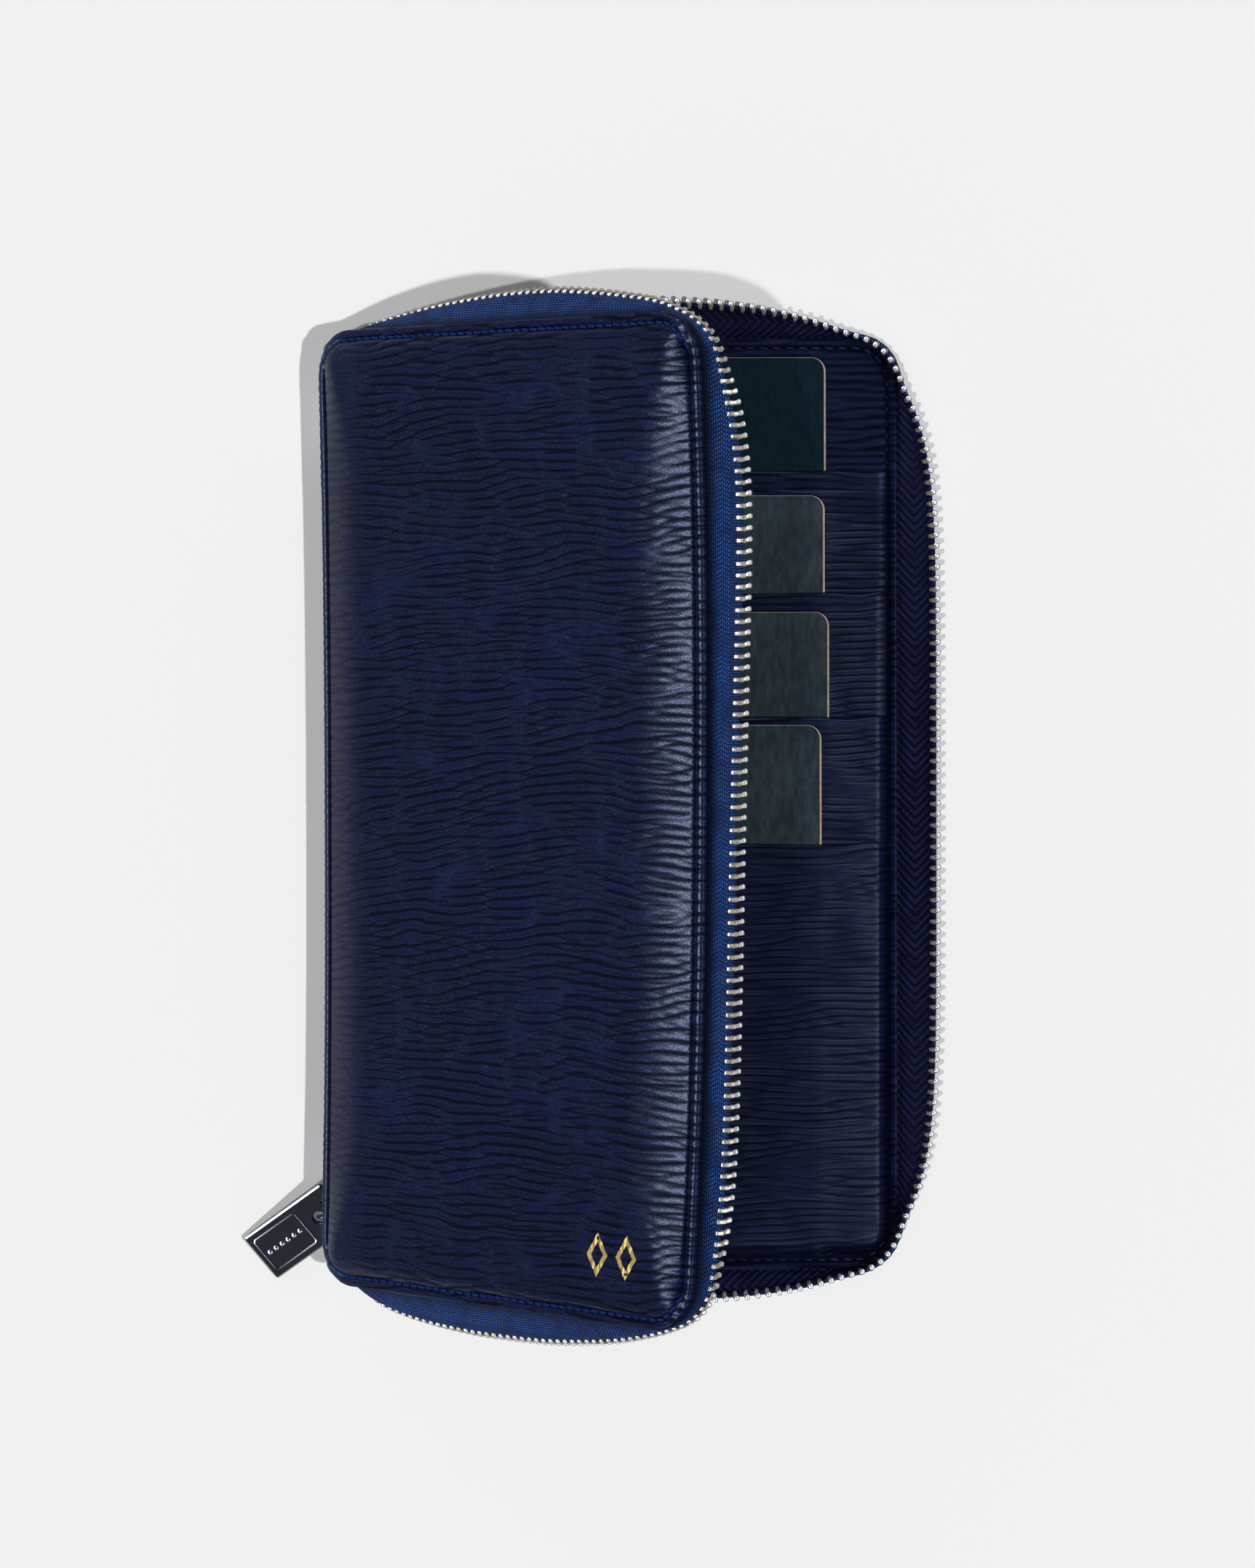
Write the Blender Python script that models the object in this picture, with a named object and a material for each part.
"""Zip-around passport holder, partly open.

Frame: metres, +Z up. The back cover lies flat, its outer face on z = 0. The origin is the
centre of that face, +X points away from the spine and +Y runs up along the spine. The front
cover stands open by OPEN_ANGLE about two soft hinges, one on each side of the spine strip.
"""

import math
from itertools import product

import bmesh
import bpy
from mathutils import Matrix, Vector

MM = 0.001

# Covers
COVER_W = 124.0 * MM
COVER_H = 213.0 * MM
CORNER_R = 11.0 * MM
CORNER_SEGS = 6
CLOSED_T = 22.0 * MM
OPEN_ANGLE = math.radians(48.4)

# Layers of a cover; each _Z is a pair of heights above the cover's outer face
PILLOW = 1.0 * MM  # how far the sewn rim lies behind the flat middle
LEATHER_T = 0.9 * MM
BOARD_Z = (1.25 * MM, 2.45 * MM)
BOARD_INSET = 9.5 * MM
TAPE_Z = (2.2 * MM, 2.6 * MM)
LINING_Z = (2.9 * MM, 3.5 * MM)
LINING_INSET = 1.2 * MM
LINING_SPINE = 0.5 * MM  # extra inset along the spine, where the strip is sewn in
STITCH_Z = (0.25 * MM, 0.5 * MM)
STITCH_INSET = (2.5 * MM, 2.0 * MM)

# Cross-section of the outer leather: inset from the cover's outline, height
LEATHER_PROFILE = (
    (9.0 * MM, 0.0),
    (5.5 * MM, 0.25 * PILLOW),
    (3.2 * MM, 0.8 * PILLOW),
    (0.4 * MM, PILLOW),
    (0.0, PILLOW + 0.3 * MM),
    (0.0, PILLOW + LEATHER_T),
    (3.2 * MM, 0.85 * PILLOW + LEATHER_T),
    (9.0 * MM, LEATHER_T),
)

# Hinges: the spine strip is sewn in a little inside the cover's edge
HINGE_IN = 3.0 * MM
HINGE_Z = 3.2 * MM
SPINE_GAP = CLOSED_T - 2 * HINGE_Z  # from one hinge to the other
SPINE_MID = SPINE_GAP / 2

# Zip tape, as offsets out from the cover's edge
TAPE_T = 0.5 * MM
FLANGE = 5.5 * MM  # width sewn in between the layers
TAPE_LEAVES = (-0.35 * MM, -0.85 * MM)  # where its outer and inner faces leave the flange
TAPE_BEND_OUT = 0.42  # the bend's offset and rise, as shares of the free edge's
TAPE_BEND_RISE = 0.55
TAPE_BEND_SHIFT = -0.1 * MM

# Zip teeth, on a cord along the tape's free edge
TIP_Z = 10.25 * MM
TOOTH_L = 3.4 * MM
TOOTH_PITCH = 4.8 * MM
TOOTH_HALF = 0.6 * MM
CORD_NEAR = 0.3 * MM
CORD_FAR = 1.2 * MM
CORD_HALF = 0.8 * MM

# Flare: how far the tooth tips stand out from the cover's edge
FLARE_SIDE = 6.6 * MM
FLARE_SIDE_POWER = 8
FLARE_ENDS = 7.2 * MM
FLARE_ENDS_POWER = 3
FLARE_CORNER = -1.3 * MM
FLARE_CORNER_DIP = 0.6 * MM
FLARE_TURN = 8.5  # degrees a tooth leans out for each millimetre of flare
SPINE_CORNER_ARC = math.radians(30)

# Cards
CARD_W = 85.6 * MM
CARD_H = 54.0 * MM
CARD_T = 0.76 * MM
CARD_R = 3.2 * MM
# card's centre x, its top edge's y, its pocket's lip y; from the lining up
CARDS = (
    (1.9 * MM, 100.9 * MM, 75.4 * MM),
    (1.6 * MM, 69.8 * MM, 47.7 * MM),
    (2.5 * MM, 43.6 * MM, 19.7 * MM),
    (0.7 * MM, 18.2 * MM, -8.7 * MM),
)

# Pockets
PLAY = 0.15 * MM
POCKET_T = 0.6 * MM
POCKET_RAIL = 9.0 * MM
POCKET_FOOT = 6.0 * MM
POCKET_INSET = 3.3 * MM
POCKET_SPINE = 1.7 * MM
RIB_W = 2.0 * MM
RIB_CLEAR = 0.3 * MM
PASSPORT_LIP = 25.0 * MM
PASSPORT_DEPTH = 2.6 * MM
TRIM_Z = (-2.0 * MM, CLOSED_T)

# Gold foil mark: two slim lozenges on a bar, near the free bottom corner of the front cover
MARK_AT = (39.2 * MM, -91.8 * MM)
MARK_W = 17.0 * MM
MARK_H = 9.4 * MM
MARK_BAR = 0.7 * MM
MARK_LOZENGE = 0.52  # a lozenge's length, as a share of half the mark's width
MARK_Z = (-0.2 * MM, -0.1 * MM)

LOOKS = {
    "leather": dict(colour=(0.012, 0.018, 0.075), rough=0.42),
    "inner": dict(colour=(0.013, 0.02, 0.07), rough=0.45),
    "board": dict(colour=(0.42, 0.38, 0.32), rough=0.9),
    "tape": dict(colour=(0.008, 0.025, 0.16), rough=0.85),
    "metal": dict(colour=(0.78, 0.72, 0.62), rough=0.25, metal=1.0),
    "steel": dict(colour=(0.32, 0.33, 0.35), rough=0.16, metal=1.0),
    "card": dict(colour=(0.012, 0.032, 0.036), rough=0.8),
    "thread": dict(colour=(0.01, 0.03, 0.2), rough=0.7),
    "foil": dict(colour=(0.83, 0.62, 0.24), rough=0.3, metal=1.0),
}
SHARP_ANGLE = math.radians(35)


# Objects and materials

def material(name, colour, rough, metal=0.0):
    mat = bpy.data.materials.new(name)
    mat.use_nodes = True
    shader = mat.node_tree.nodes["Principled BSDF"]
    shader.inputs["Base Color"].default_value = (*colour, 1.0)
    shader.inputs["Roughness"].default_value = rough
    shader.inputs["Metallic"].default_value = metal
    mat.diffuse_color = (*colour, 1.0)
    return mat


def add_solid(name, shape, look, parent=None, smooth=False):
    """One named object from (points, faces), with every face turned to point out."""
    points, faces = shape
    mesh = bpy.data.meshes.new(name)
    bm = bmesh.new()
    verts = [bm.verts.new(p) for p in points]
    for face in faces:
        bm.faces.new([verts[i] for i in face])
    bmesh.ops.recalc_face_normals(bm, faces=bm.faces)
    bm.to_mesh(mesh)
    bm.free()
    if smooth:
        mesh.shade_smooth()
        mesh.set_sharp_from_angle(angle=SHARP_ANGLE)
    ob = bpy.data.objects.new(name, mesh)
    bpy.context.scene.collection.objects.link(ob)
    mesh.materials.append(material(look, **LOOKS[look]))
    ob.parent = parent
    return ob


def add_axis(name, location, turn_y=0.0, parent=None):
    """An empty that carries moving pieces, turned about Y."""
    empty = bpy.data.objects.new(name, None)
    bpy.context.scene.collection.objects.link(empty)
    empty.empty_display_size = 0.01
    empty.location = location
    empty.rotation_euler = (0.0, turn_y, 0.0)
    empty.parent = parent
    return empty


# Shapes

def tube(rings, closed=False):
    """Points and faces of a solid through rings of equal count, capped unless closed."""
    n = len(rings[0])
    count = len(rings)
    points = [p for ring in rings for p in ring]
    faces = []
    for i in range(count if closed else count - 1):
        a = i * n
        b = (i + 1) % count * n
        for k in range(n):
            m = (k + 1) % n
            faces.append((a + k, a + m, b + m, b + k))
    if not closed:
        faces.append(tuple(reversed(range(n))))
        faces.append(tuple((count - 1) * n + k for k in range(n)))
    return points, faces


def rounded(width, height, radius, segs=CORNER_SEGS, at=(0.0, 0.0)):
    """A rounded rectangle, anticlockwise from its +X side."""
    out = []
    for sx, sy, turn in ((1, 1, 0), (-1, 1, 90), (-1, -1, 180), (1, -1, 270)):
        for k in range(segs + 1):
            angle = math.radians(turn + 90.0 * k / segs)
            x = at[0] + sx * (width / 2 - radius) + radius * math.cos(angle)
            y = at[1] + sy * (height / 2 - radius) + radius * math.sin(angle)
            out.append((x, y))
    return out


def inset_outline(inset, segs=CORNER_SEGS, spine=0.0):
    """The cover's outline moved in by inset, and by a further amount along the spine."""
    size = (COVER_W - 2 * inset - spine, COVER_H - 2 * inset)
    return rounded(*size, CORNER_R - inset, segs, (spine / 2, 0.0))


def mirrored(half):
    """A closed outline from one half and its mirror image in the second coordinate."""
    return half + [(a, -b) for a, b in reversed(half)]


def level(outline, z):
    return [(x, y, z) for x, y in outline]


def plate(outline, z_range):
    """A solid from an outline in the x, y plane, between two heights."""
    return tube([level(outline, z) for z in z_range])


def extrude_x(outline, x_range):
    """A solid from an outline in the y, z plane, between two x values."""
    return tube([[(x, y, z) for y, z in outline] for x in x_range])


class Side:
    """One cover. The back cover's own frame is the object's. The front cover's meshes are
    mirrored top to bottom about its hinge axis, which its parent empty lies on."""

    def __init__(self, name, parent, front):
        self.name = name
        self.parent = parent
        self.front = front

    def place(self, shape):
        points, faces = shape
        if self.front:
            points = [(x + COVER_W / 2 - HINGE_IN, y, HINGE_Z - z) for x, y, z in points]
        return points, faces

    def solid(self, name, shape, look, smooth=False):
        full_name = f"{self.name}_{name}"
        return add_solid(full_name, self.place(shape), look, self.parent, smooth)


# Zip round the covers

def flare(x, y):
    """The flare at a point of the cover's edge."""
    half_w = COVER_W / 2 - CORNER_R
    half_h = COVER_H / 2 - CORNER_R
    if abs(x) <= half_w:
        t = (abs(x) / half_w) ** FLARE_ENDS_POWER
        return FLARE_ENDS * (1 - t) + FLARE_CORNER * t
    if abs(y) <= half_h:
        t = (abs(y) / half_h) ** FLARE_SIDE_POWER
        return FLARE_SIDE * (1 - t) + FLARE_CORNER * t
    angle = math.atan2(abs(y) - half_h, abs(x) - half_w)
    return FLARE_CORNER - FLARE_CORNER_DIP * math.sin(2 * angle)


def zip_stations():
    """Points round the cover's edge that carry the zip: x, y, normal x, normal y, flare."""
    half_w = COVER_W / 2 - CORNER_R
    half_h = COVER_H / 2 - CORNER_R
    quarter = math.pi / 2
    out = []

    def arc(cx, cy, start, end, n):
        for k in range(n + 1):
            angle = start + (end - start) * k / n
            nx = math.cos(angle)
            ny = math.sin(angle)
            out.append((cx + CORNER_R * nx, cy + CORNER_R * ny, nx, ny))

    def straight(start, end, normal, n):
        """Inner points of a straight, closer together towards its ends."""
        for k in range(1, n):
            t = 0.5 - 0.5 * math.cos(math.pi * k / n)
            x = start[0] + (end[0] - start[0]) * t
            y = start[1] + (end[1] - start[1]) * t
            out.append((x, y, *normal))

    arc(-half_w, half_h, quarter + SPINE_CORNER_ARC, quarter, 2)
    straight((-half_w, COVER_H / 2), (half_w, COVER_H / 2), (0.0, 1.0), 10)
    arc(half_w, half_h, quarter, 0.0, 5)
    straight((COVER_W / 2, half_h), (COVER_W / 2, -half_h), (1.0, 0.0), 12)
    arc(half_w, -half_h, 0.0, -quarter, 5)
    straight((half_w, -COVER_H / 2), (-half_w, -COVER_H / 2), (0.0, -1.0), 10)
    arc(-half_w, -half_h, -quarter, -quarter - SPINE_CORNER_ARC, 2)
    return [(x, y, nx, ny, flare(x, y)) for x, y, nx, ny in out]


STATIONS = zip_stations()


def tooth_root(tip_out):
    """Offset and height of the tape's free edge, and the way the teeth point, for a flare."""
    lean = math.radians(FLARE_TURN * tip_out / MM)
    way = (math.sin(lean), math.cos(lean))
    return tip_out - TOOTH_L * way[0], TIP_Z - TOOTH_L * way[1], way


def zip_tape(side):
    half = TAPE_T / 2
    rings = []
    for x, y, nx, ny, tip_out in STATIONS:
        edge, edge_z, _ = tooth_root(tip_out)
        bend = TAPE_BEND_OUT * edge + TAPE_BEND_SHIFT
        bend_z = TAPE_Z[1] + TAPE_BEND_RISE * (edge_z - TAPE_Z[1])
        profile = [
            (-FLANGE, TAPE_Z[0]),
            (TAPE_LEAVES[0], TAPE_Z[0]),
            (bend + half, bend_z),
            (edge + half, edge_z),
            (edge - half, edge_z),
            (bend - half, bend_z),
            (TAPE_LEAVES[1], TAPE_Z[1]),
            (-FLANGE, TAPE_Z[1]),
        ]
        rings.append([(x + nx * out, y + ny * out, z) for out, z in profile])
    side.solid("zip_tape", tube(rings), "tape", smooth=True)


def tooth_rows(section):
    """A section, given as (along, across) the tooth, placed at every station."""
    rows = []
    for x, y, nx, ny, tip_out in STATIONS:
        edge, edge_z, way = tooth_root(tip_out)
        row = []
        for along, across in section:
            out = edge + way[0] * along + way[1] * across
            z = edge_z + way[1] * along - way[0] * across
            row.append(Vector((x + nx * out, y + ny * out, z)))
        rows.append(row)
    return rows


def zip_teeth(side):
    """The cord with its row of teeth, as one comb."""
    cord = tooth_rows((
        (CORD_NEAR, -CORD_HALF),
        (CORD_NEAR, CORD_HALF),
        (CORD_FAR, CORD_HALF),
        (CORD_FAR, -CORD_HALF),
    ))
    tips = tooth_rows(((TOOTH_L, -TOOTH_HALF), (TOOTH_L, TOOTH_HALF)))
    run = [0.0]  # length along the cord's corner 2 at each station
    for a, b in zip(cord, cord[1:]):
        run.append(run[-1] + (a[2] - b[2]).length)
    cells = int(run[-1] // TOOTH_PITCH) * 2 - 1  # tooth and gap by turns
    step = run[-1] / cells

    def at_run(rows, distance):
        k = 0
        while k < len(run) - 2 and distance > run[k + 1]:
            k += 1
        t = min(1.0, (distance - run[k]) / (run[k + 1] - run[k]))
        return [a.lerp(b, t) for a, b in zip(rows[k], rows[k + 1])]

    points, faces = tube([at_run(cord, step * i) for i in range(cells + 1)])
    for i in range(0, cells, 2):
        # a tooth replaces the cord's far face, between the rings' corners 2 and 3
        a = i * 4
        b = a + 4
        base = (a + 2, a + 3, b + 3, b + 2)
        faces.remove(base)
        start = at_run(tips, step * i)
        end = at_run(tips, step * (i + 1))
        first = len(points)
        points += [start[1], start[0], end[0], end[1]]
        top = tuple(range(first, first + 4))
        faces.append(top)
        for k in range(4):
            m = (k + 1) % 4
            faces.append((base[k], base[m], top[m], top[k]))
    side.solid("zip_teeth", (points, faces), "metal")


# Cover layers

def cover_leather(side):
    """Outer leather: flat in the middle, rolled back to a thin sewn rim."""
    rings = [level(inset_outline(inset), z) for inset, z in LEATHER_PROFILE]
    side.solid("cover_leather", tube(rings), "leather", smooth=True)


def stiffener_board(side):
    side.solid("stiffener_board", plate(inset_outline(BOARD_INSET, 3), BOARD_Z), "board")


def lining(side):
    outline = inset_outline(LINING_INSET, 5, LINING_SPINE)
    side.solid("lining", plate(outline, LINING_Z), "inner")


def stitch_thread(side):
    inner, outer = (inset_outline(inset) for inset in STITCH_INSET)
    low, high = STITCH_Z
    rings = [
        [(*a, low), (*b, low), (*b, high), (*a, high)] for a, b in zip(inner, outer)
    ]
    side.solid("stitch_thread", tube(rings, closed=True), "thread")


def foil_mark():
    """The mark, on the front cover's outer face."""
    half_w = MARK_W / 2
    half_h = MARK_H / 2
    bar = MARK_BAR / 2
    lozenge = half_w * MARK_LOZENGE
    left = [
        (-half_w, -bar),
        (-half_w + 0.5 * lozenge, -bar),
        (-half_w + lozenge, -half_h),
        (-half_w + 1.5 * lozenge, -bar),
    ]
    lower = left + [(-x, y) for x, y in reversed(left)]
    outline = [(x + MARK_AT[0], y + MARK_AT[1]) for x, y in mirrored(lower)]
    FRONT.solid("foil_mark", plate(outline, MARK_Z), "foil")


# Pockets and cards

def pocket_shape(lip, bottom, depth, stop):
    """Cells of a grid: a sheet over rails on both sides, a foot and, at stop, a rib."""
    xs = [-COVER_W / 2, -COVER_W / 2 + POCKET_RAIL, COVER_W / 2 - POCKET_RAIL, COVER_W / 2]
    ys = [-COVER_H / 2, -COVER_H / 2 + POCKET_FOOT]
    solid_rows = [0]
    if stop is not None:
        ys += [stop - RIB_W, stop]
        solid_rows.append(2)
    ys.append(lip)
    zs = [bottom, bottom + depth, bottom + depth + POCKET_T]
    nx = len(xs) - 1
    ny = len(ys) - 1

    def filled(i, j, k):
        if not (0 <= i < nx and 0 <= j < ny and 0 <= k < 2):
            return False
        return k == 1 or i in (0, nx - 1) or j in solid_rows

    index = {}
    points = []
    faces = []

    def corner(i, j, k):
        if (i, j, k) not in index:
            index[(i, j, k)] = len(points)
            points.append((xs[i], ys[j], zs[k]))
        return index[(i, j, k)]

    # a face wherever a filled cell meets an empty one
    for cell in product(range(nx), range(ny), range(2)):
        if not filled(*cell):
            continue
        for axis, step in product(range(3), (1, -1)):
            neighbour = list(cell)
            neighbour[axis] += step
            if filled(*neighbour):
                continue
            u, v = [a for a in range(3) if a != axis]
            quad = []
            for du, dv in ((0, 0), (1, 0), (1, 1), (0, 1)):
                at = list(cell)
                at[axis] += max(step, 0)
                at[u] += du
                at[v] += dv
                quad.append(corner(*at))
            faces.append(tuple(quad))
    return points, faces


def pocket(side, name, lip, bottom, depth, stop=None):
    """A pocket open at its lip, trimmed to a rounded outline like the lining's."""
    ob = side.solid(name, pocket_shape(lip, bottom, depth, stop), "inner")
    trim = side.place(plate(inset_outline(POCKET_INSET, 5, POCKET_SPINE), TRIM_Z))
    cutter = add_solid(f"trim_{name}", trim, "board", side.parent)
    cutter.hide_render = True
    cutter.display_type = "WIRE"
    mod = ob.modifiers.new("trim", "BOOLEAN")
    mod.operation = "INTERSECT"
    mod.solver = "EXACT"
    mod.object = cutter


def cards_and_pockets():
    """Stacked from the back lining up; each sheet lies over the card it holds."""
    height = LINING_Z[1]
    for n, (x, top, lip) in enumerate(CARDS, start=1):
        height += PLAY
        outline = rounded(CARD_W, CARD_H, CARD_R, 4, (x, top - CARD_H / 2))
        add_solid(f"card_{n}", plate(outline, (height, height + CARD_T)), "card")
        stop = top - CARD_H - RIB_CLEAR
        pocket(BACK, f"card_pocket_{n}", lip, height, CARD_T + PLAY, stop)
        height += CARD_T + PLAY + POCKET_T


# Spine strip and everything sewn to it. In this frame z runs from the back cover's hinge to
# the front cover's, and -x is the outer side. Each _OUT is a distance towards -x.
SPINE_HALF = 104.5 * MM
SPINE_CLEAR = 1.6 * MM
SPINE_T = 1.2 * MM
SPINE_R = 2.0 * MM
SPINE_LINING_INSET = 0.6 * MM
SPINE_LINING_X = (SPINE_T / 2 + 0.3 * MM, SPINE_T / 2 + 0.8 * MM)

END_TAPE_OUT = (SPINE_T / 2 + 0.25 * MM, SPINE_T / 2 + 0.55 * MM)
END_TAPE_HALF = 5.0 * MM
END_TAPES_Y = {"lower": (-103.5 * MM, -76.0 * MM), "upper": (80.0 * MM, 103.5 * MM)}

CHAIN_OUT = (1.4 * MM, 2.5 * MM)
CHAIN_HALF = 1.5 * MM
CHAIN_STEP = 0.2 * MM  # how far the stepped sides stand either way from straight
CHAIN_PITCH = 2.4 * MM
CHAINS_Y = {"lower": (-92.0 * MM, -82.0 * MM), "upper": (84.0 * MM, 96.0 * MM)}

STOP_OUT = (END_TAPE_OUT[1] + 0.2 * MM, CHAIN_OUT[1] + 0.3 * MM)
STOP_L = 2.2 * MM
STOP_W = 5.0 * MM
STOP_R = 0.6 * MM
STOPS_Y = {"lower": -80.6 * MM, "upper": 82.6 * MM}

SLIDER_Y = -92.6 * MM
SLIDER_L = 9.0 * MM
SLIDER_OUT = (2.8 * MM, 3.5 * MM)
SLIDER_WALL = 0.9 * MM
SLIDER_WIDE = 3.3 * MM
SLIDER_NARROW = 0.86 * SLIDER_WIDE
SLIDER_CHAMFER = (0.2 * MM, 0.4 * MM)  # depth, width
# offset from the slider's centre along y, half width; wider at its mouth, which is at -y
SLIDER_STATIONS = (
    (-SLIDER_L / 2, 0.9 * SLIDER_WIDE),
    (-SLIDER_L / 2 + 1.5 * MM, SLIDER_WIDE),
    (SLIDER_L / 2 - 2.5 * MM, SLIDER_NARROW),
    (SLIDER_L / 2, 0.92 * SLIDER_NARROW),
)

BRIDGE_OUT = (4.7 * MM, 5.3 * MM)
BRIDGE_MID = (BRIDGE_OUT[0] + BRIDGE_OUT[1]) / 2
BRIDGE_FOOT = SLIDER_OUT[1] + 0.1 * MM
BRIDGE_HALF = 0.6 * MM
# one end of the arch: out, offset from the slider's centre along y
BRIDGE_END = [
    (BRIDGE_OUT[1], 2.3 * MM),
    (BRIDGE_OUT[0], 2.9 * MM),
    (BRIDGE_FOOT, 2.9 * MM),
    (BRIDGE_FOOT, 2.2 * MM),
    (BRIDGE_OUT[0], 2.0 * MM),
]

RING_OUT = 6.25 * MM
RING_R = 2.2 * MM
RING_WIRE = 0.4 * MM
RING_SEGS = 16
WIRE_SEGS = 6

TAB_L = 20.0 * MM
TAB_W = 12.0 * MM
TAB_T = 1.5 * MM
TAB_HOLE = 1.45 * MM
TAB_NECK = 2.35 * MM  # from the eye's centre to the near end
TAB_NECK_HALF = 2.3 * MM
TAB_SHOULDER = (0.9 * MM, 3.6 * MM)  # where it starts and stops widening
TAB_CORNER = 0.7 * MM
TAB_TURN = math.radians(36.5)  # from -X towards -Y
TAB_PITCH = math.radians(17.5)  # below level
TAB_ROLL = math.radians(8)


def outward(near_far):
    """x range of a piece from its near and far distances out."""
    near, far = near_far
    return -far, -near


def spine_outline(inset):
    width = SPINE_GAP - 2 * SPINE_CLEAR - 2 * inset
    return rounded(2 * (SPINE_HALF - inset), width, SPINE_R, 3, (0.0, SPINE_MID))


def spine_strip():
    leather = extrude_x(spine_outline(0.0), (-SPINE_T / 2, SPINE_T / 2))
    add_solid("spine_leather", leather, "leather", BACK_AXIS)
    inner = extrude_x(spine_outline(SPINE_LINING_INSET), SPINE_LINING_X)
    add_solid("spine_lining", inner, "inner", BACK_AXIS)


def end_tape(name, y0, y1):
    z0 = SPINE_MID - END_TAPE_HALF
    z1 = SPINE_MID + END_TAPE_HALF
    outline = [(y0, z0), (y1, z0), (y1, z1), (y0, z1)]
    add_solid(name, extrude_x(outline, outward(END_TAPE_OUT)), "tape", BACK_AXIS)


def end_chain(name, y0, y1):
    """A closed length of chain: a bar whose sides show the interlocked teeth as steps."""
    n = round((y1 - y0) / CHAIN_PITCH)
    steps = []
    for k in range(n):
        a, b, c = (y0 + (y1 - y0) * (k + part) / n for part in (0, 0.5, 1))
        steps += [(a, -CHAIN_STEP), (b, -CHAIN_STEP), (b, CHAIN_STEP), (c, CHAIN_STEP)]
    outline = [(y, SPINE_MID - CHAIN_HALF + shift) for y, shift in steps]
    outline += [(y, SPINE_MID + CHAIN_HALF + shift) for y, shift in reversed(steps)]
    add_solid(name, extrude_x(outline, outward(CHAIN_OUT)), "metal", BACK_AXIS)


def zip_stop(name, y):
    outline = rounded(STOP_L, STOP_W, STOP_R, 2, (y, SPINE_MID))
    add_solid(name, extrude_x(outline, outward(STOP_OUT)), "metal", BACK_AXIS)


def zip_slider():
    """A channel over the chain."""
    floor = -CHAIN_OUT[0]
    under = -SLIDER_OUT[0]
    lid = -SLIDER_OUT[1]
    chamfer_x, chamfer_z = SLIDER_CHAMFER
    rings = []
    for y, half_w in SLIDER_STATIONS:
        section = mirrored([
            (lid, half_w - chamfer_z),
            (lid + chamfer_x, half_w),
            (floor, half_w),
            (floor, half_w - SLIDER_WALL),
            (under, half_w - SLIDER_WALL),
        ])
        rings.append([(x, SLIDER_Y + y, SPINE_MID + z) for x, z in section])
    add_solid("zip_slider", tube(rings), "steel", BACK_AXIS)


def slider_bridge():
    """An arch on the slider that runs along the zip."""
    arch = mirrored(BRIDGE_END)
    rings = [
        [(-out, SLIDER_Y + y, SPINE_MID + z) for out, y in arch]
        for z in (-BRIDGE_HALF, BRIDGE_HALF)
    ]
    add_solid("slider_bridge", tube(rings), "steel", BACK_AXIS)


def pull_ring():
    """Ring through the bridge, turning about the bridge's bar."""
    axis = add_axis("axis_ring", (-BRIDGE_MID, SLIDER_Y, SPINE_MID), parent=BACK_AXIS)
    centre_x = BRIDGE_MID - RING_OUT
    rings = []
    for k in range(RING_SEGS):
        turn = 2 * math.pi * k / RING_SEGS
        ring = []
        for j in range(WIRE_SEGS):
            around = 2 * math.pi * (j + 0.5) / WIRE_SEGS
            radius = RING_R + RING_WIRE * math.cos(around)
            x = centre_x + radius * math.cos(turn)
            ring.append((x, RING_WIRE * math.sin(around), radius * math.sin(turn)))
        rings.append(ring)
    add_solid("pull_ring", tube(rings, closed=True), "steel", axis, smooth=True)


def tab_outline():
    """Outline round the tab from the middle of its eye end, in tab length and width."""
    near = -TAB_NECK
    far = TAB_L - TAB_NECK
    neck = TAB_NECK_HALF
    full = TAB_W / 2
    r = TAB_CORNER
    half = [
        (near, 0.0),
        (near, neck - r),
        (near + 0.3 * r, neck - 0.3 * r),
        (near + r, neck),
        (TAB_SHOULDER[0], neck),
        (TAB_SHOULDER[1], full),
        (far - r, full),
        (far - 0.3 * r, full - 0.3 * r),
        (far, full - r),
        (far, 0.0),
    ]
    return half + [(a, -b) for a, b in reversed(half[1:-1])]


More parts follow.
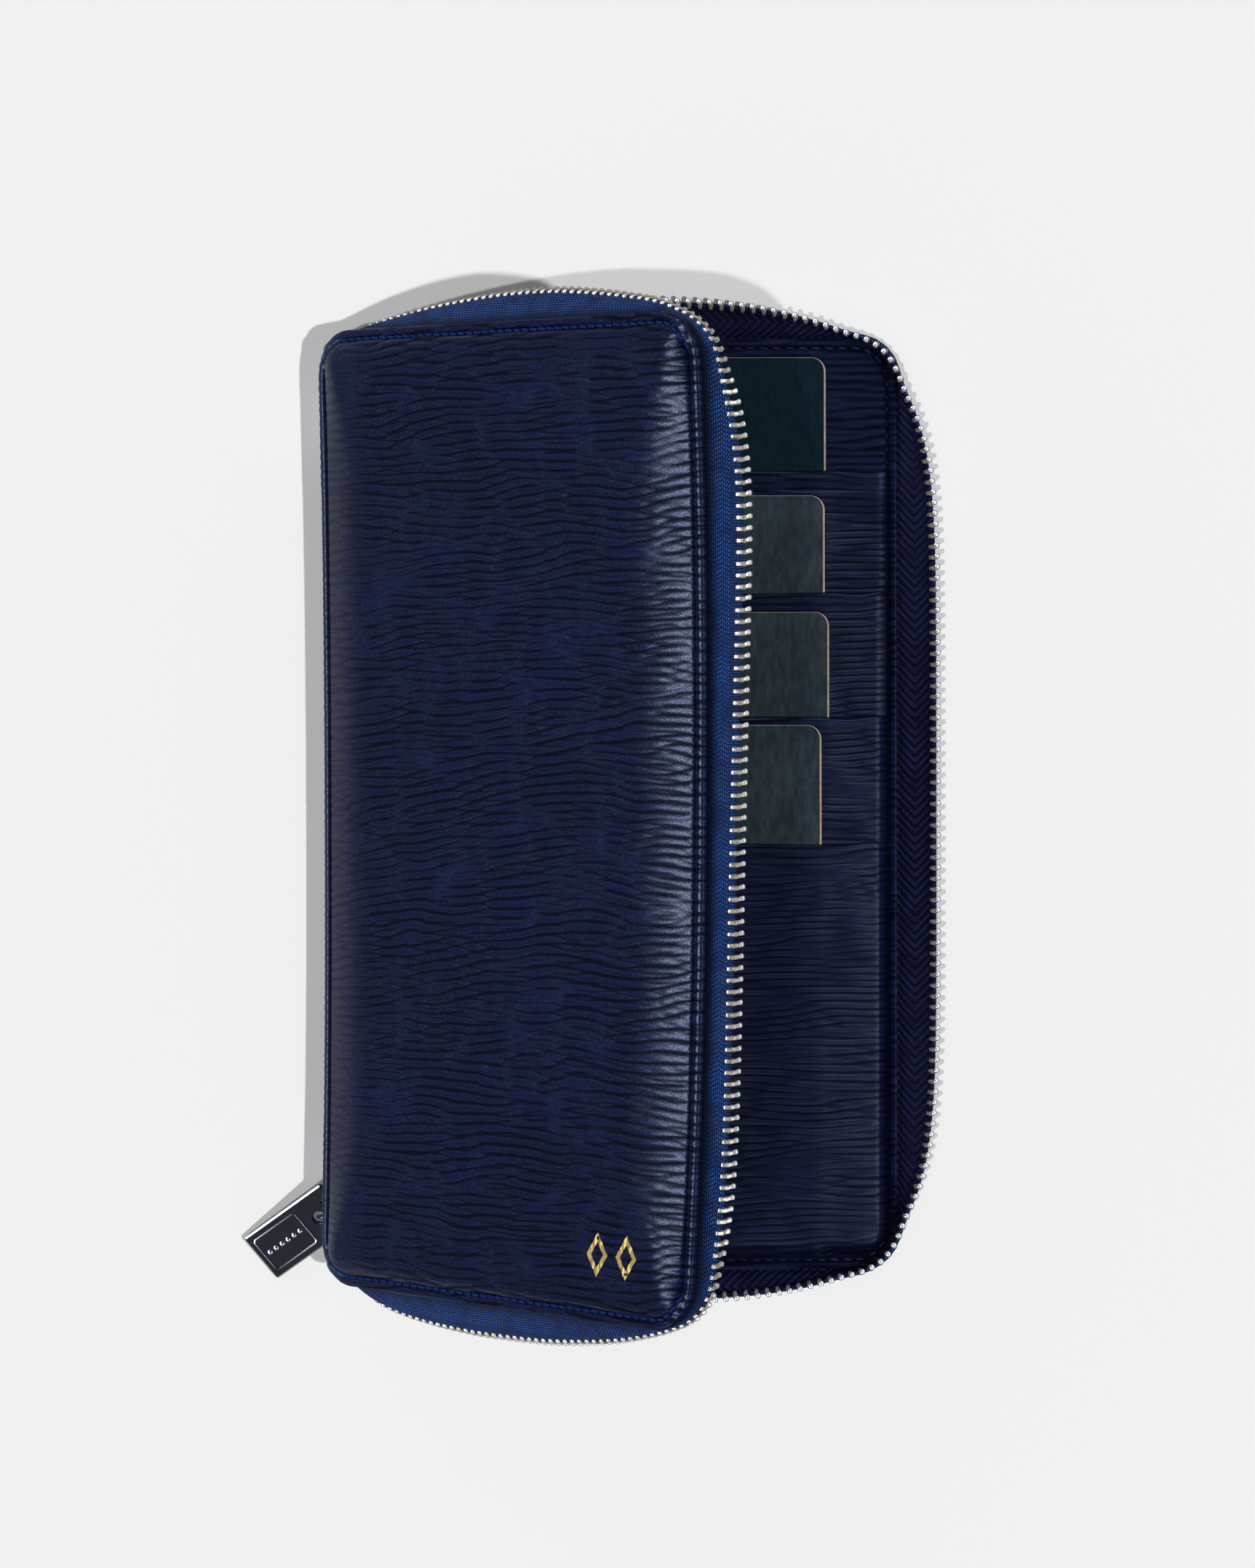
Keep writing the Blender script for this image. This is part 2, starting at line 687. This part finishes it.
def tab_directions():
    """The tab's length, width and thickness directions, in the spine's frame."""
    along = Vector((
        -math.cos(TAB_TURN) * math.cos(TAB_PITCH),
        -math.sin(TAB_TURN) * math.cos(TAB_PITCH),
        -math.sin(TAB_PITCH),
    ))
    flat_across = along.cross(Vector((0.0, 0.0, 1.0))).normalized()
    flat_up = flat_across.cross(along).normalized()
    across = flat_across * math.cos(TAB_ROLL) + flat_up * math.sin(TAB_ROLL)
    across.normalize()
    up = across.cross(along).normalized()
    to_spine = Matrix.Rotation(OPEN_ANGLE / 2, 3, "Y")
    return to_spine @ along, to_spine @ across, to_spine @ up


def pull_tab():
    """A flat bar that narrows to a round eye, sloping down from the ring's outer side."""
    eye = (-(RING_OUT + RING_R), SLIDER_Y, SPINE_MID)
    axis = add_axis("axis_tab", eye, parent=BACK_AXIS)
    along, across, up = tab_directions()
    outline = tab_outline()
    hole = []
    for k in range(len(outline)):
        angle = math.pi - 2 * math.pi * k / len(outline)
        hole.append((TAB_HOLE * math.cos(angle), TAB_HOLE * math.sin(angle)))
    top = TAB_T / 2
    rings = [
        [along * a + across * b + up * c for a, b in loop]
        for loop, c in ((outline, top), (outline, -top), (hole, -top), (hole, top))
    ]
    add_solid("pull_tab", tube(rings, closed=True), "steel", axis)


# Build

for old in list(bpy.data.objects):
    bpy.data.objects.remove(old, do_unlink=True)

BACK_AXIS = add_axis(
    "axis_back_to_spine", (-COVER_W / 2 + HINGE_IN, 0.0, HINGE_Z), -OPEN_ANGLE / 2
)
FRONT_AXIS = add_axis(
    "axis_spine_to_front", (0.0, 0.0, SPINE_GAP), -OPEN_ANGLE / 2, BACK_AXIS
)
BACK = Side("back", None, front=False)
FRONT = Side("front", FRONT_AXIS, front=True)

for cover in (BACK, FRONT):
    cover_leather(cover)
    stiffener_board(cover)
    zip_tape(cover)
    zip_teeth(cover)
    lining(cover)
    stitch_thread(cover)
cards_and_pockets()
pocket(FRONT, "passport_pocket", PASSPORT_LIP, LINING_Z[1] + PLAY, PASSPORT_DEPTH)

spine_strip()
for end, y_range in END_TAPES_Y.items():
    end_tape(f"zip_end_tape_{end}", *y_range)
for end, y_range in CHAINS_Y.items():
    end_chain(f"zip_chain_end_{end}", *y_range)
for end, stop_y in STOPS_Y.items():
    zip_stop(f"zip_stop_{end}", stop_y)
zip_slider()
slider_bridge()
pull_ring()
pull_tab()
foil_mark()

bpy.context.view_layer.update()
